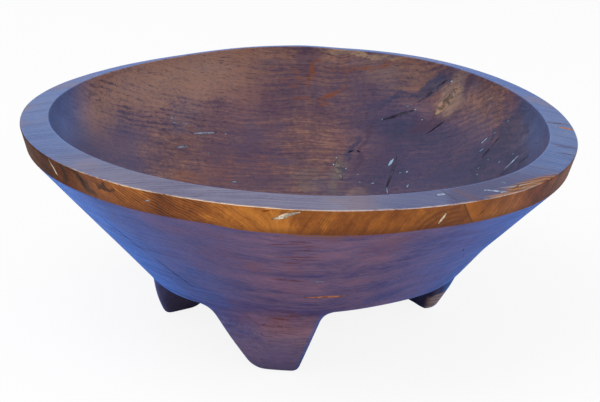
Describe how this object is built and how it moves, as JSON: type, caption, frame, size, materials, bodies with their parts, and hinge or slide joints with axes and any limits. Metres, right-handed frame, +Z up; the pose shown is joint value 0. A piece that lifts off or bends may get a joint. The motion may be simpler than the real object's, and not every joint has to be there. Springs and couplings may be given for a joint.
{
  "type": "footed wooden bowl",
  "caption": "Large shallow wooden bowl carved from one block on three wedge feet, with a broad flat rim, a narrow outer band and natural cracks filled flush.",
  "frame": {"origin": "on the ground the bowl stands on, under the middle of the rim", "axes": "+Z up through the bowl's mouth, -Y towards the foot at the front, +X to the right seen from the front"},
  "size_m": [0.5, 0.5, 0.2039],
  "materials": {
    "lacquered_wood": "dark root wood under a clear gloss lacquer",
    "pale_filler": "pale wood paste, lacquered over",
    "grey_filler": "grey wood paste, lacquered over",
    "rust_filler": "rust-brown wood paste, lacquered over",
    "dark_filler": "dark wood paste, lacquered over"
  },
  "bodies": {
    "root": {"bowl_body": "lacquered_wood", "front_band_filler": "pale_filler", "left_band_filler": "pale_filler", "right_band_filler": "pale_filler", "rim_spot_filler": "grey_filler", "rim_streak_filler": "grey_filler", "rim_side_filler": "rust_filler", "hollow_left_filler": "grey_filler", "hollow_lower_left_filler": "grey_filler", "hollow_back_filler": "grey_filler", "hollow_long_filler": "dark_filler", "hollow_top_filler": "dark_filler", "hollow_pale_filler": "rust_filler", "hollow_upper_filler": "grey_filler", "hollow_diagonal_filler": "dark_filler", "hollow_right_filler": "grey_filler", "flank_filler": "rust_filler"}
  },
  "joints": []
}
